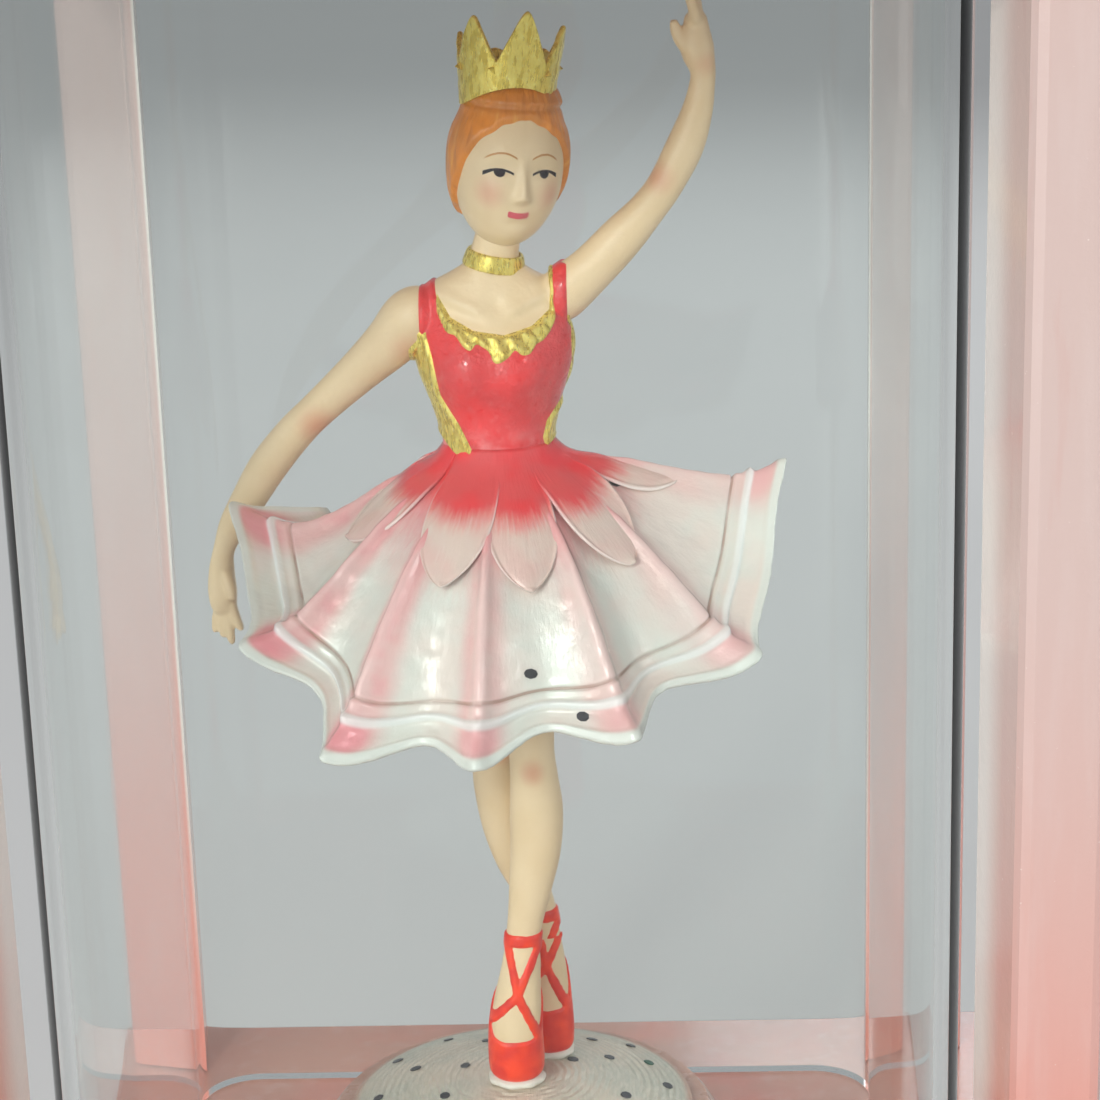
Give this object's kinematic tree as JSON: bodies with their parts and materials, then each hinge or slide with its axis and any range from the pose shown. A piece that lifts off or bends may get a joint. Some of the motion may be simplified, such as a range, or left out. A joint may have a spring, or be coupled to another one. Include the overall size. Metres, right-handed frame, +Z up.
{
  "type": "musical jewellery box",
  "caption": "Musical jewellery box with a drawer in its base and a cast ballerina that turns on a domed stage inside a clear case between corner posts.",
  "frame": {"origin": "on the table under the turning axis of the stage, the centre of the box's footprint", "axes": "+Z up along the turning axis; the drawer and the front of the box face -Y; +X is to the right seen from the front"},
  "size_m": [0.132, 0.144, 0.2403],
  "materials": {
    "coral_lacquer": "gloss lacquer over wood",
    "blush_lacquer": "gloss lacquer over wood, pale above and coral below",
    "blush_gloss": "gloss",
    "pearl_paint": "pearl paint on cast resin",
    "skin_paint": "matte paint on cast resin",
    "crown_gold": "brushed gold",
    "clear_case": "clear, polished",
    "bare_wood": "unfinished",
    "velvet": "velvet pile",
    "brass": "polished",
    "steel": "bright",
    "zinc": "die cast"
  },
  "bodies": {
    "cabinet": {"plinth_board": "coral_lacquer", "side_panel_left": "coral_lacquer", "side_panel_right": "coral_lacquer", "back_panel": "coral_lacquer", "deck_board": "blush_lacquer", "roof_board": "blush_lacquer", "roof_cap": "blush_lacquer", "post_front_left": "blush_lacquer", "post_front_right": "blush_lacquer", "post_back_left": "blush_lacquer", "post_back_right": "blush_lacquer", "foot_front_left": "blush_gloss", "foot_front_right": "blush_gloss", "foot_back_left": "blush_gloss", "foot_back_right": "blush_gloss", "clear_case": "clear_case", "mechanism_partition": "bare_wood", "drawer_runner_left": "bare_wood", "drawer_runner_right": "bare_wood", "deck_bushing": "brass", "comb_screw_front": "brass", "comb_screw_rear": "brass", "click_spring": "steel", "music_comb": "steel", "bedplate_screw_left": "steel", "bedplate_screw_right": "steel", "movement_bedplate": "zinc", "comb_support": "zinc", "cylinder_bracket_front": "zinc", "cylinder_bracket_rear": "zinc", "second_bracket": "zinc", "governor_frame": "zinc"},
    "drawer": {"drawer_front": "coral_lacquer", "drawer_tray": "bare_wood", "drawer_cushion": "velvet", "drawer_knob": "brass"},
    "turntable": {"spring_barrel": "brass", "barrel_cover": "brass", "barrel_crown_gear": "brass", "mainspring": "steel", "drive_shaft": "steel", "stage_drum": "blush_gloss", "stage_dome": "pearl_paint", "ballerina_legs": "skin_paint", "ballerina_skirt": "pearl_paint", "ballerina_torso": "skin_paint", "ballerina_head": "skin_paint", "ballerina_crown": "crown_gold", "ballerina_arm_lowered": "skin_paint", "ballerina_arm_raised": "skin_paint"},
    "cylinder": {"music_cylinder": "brass", "cylinder_pinion": "brass", "cylinder_wheel": "brass"},
    "second_mover": {"second_wheel": "brass"},
    "governor": {"governor_worm": "steel"},
    "winder": {"winding_arbor": "steel", "winding_key": "brass"},
    "stop": {"stop_rod": "steel", "stop_knob": "brass"}
  },
  "joints": [
    {"name": "stage_spin", "type": "hinge", "parent": "cabinet", "child": "turntable", "pos_m": [0, 0, 0.066], "axis": [0, 0, 1], "continuous": true},
    {"name": "cylinder_spin", "type": "hinge", "parent": "cabinet", "child": "cylinder", "pos_m": [0, 0.0258, 0.0407], "axis": [0, 1, 0], "continuous": true},
    {"name": "second_wheel_spin", "type": "hinge", "parent": "cabinet", "child": "second_mover", "pos_m": [0.011, 0.0375, 0.03859], "axis": [0, 1, 0], "continuous": true},
    {"name": "governor_spin", "type": "hinge", "parent": "cabinet", "child": "governor", "pos_m": [0.0175, 0.0365, 0.03859], "axis": [0, 0, 1], "continuous": true},
    {"name": "key_wind", "type": "hinge", "parent": "cabinet", "child": "winder", "pos_m": [0, 0, 0.012], "axis": [0, 0, 1], "continuous": true},
    {"name": "drawer_slide", "type": "slide", "parent": "cabinet", "child": "drawer", "axis": [0, -1, 0], "range_m": [0, 0.03]},
    {"name": "stop_slide", "type": "slide", "parent": "cabinet", "child": "stop", "axis": [0, 1, 0], "range_m": [-0.004, 0]}
  ],
  "couplings": [
    {"joint": "cylinder_spin", "follows": "stage_spin", "ratio": 3},
    {"joint": "second_wheel_spin", "follows": "stage_spin", "ratio": -9},
    {"joint": "governor_spin", "follows": "stage_spin", "ratio": -180}
  ]
}
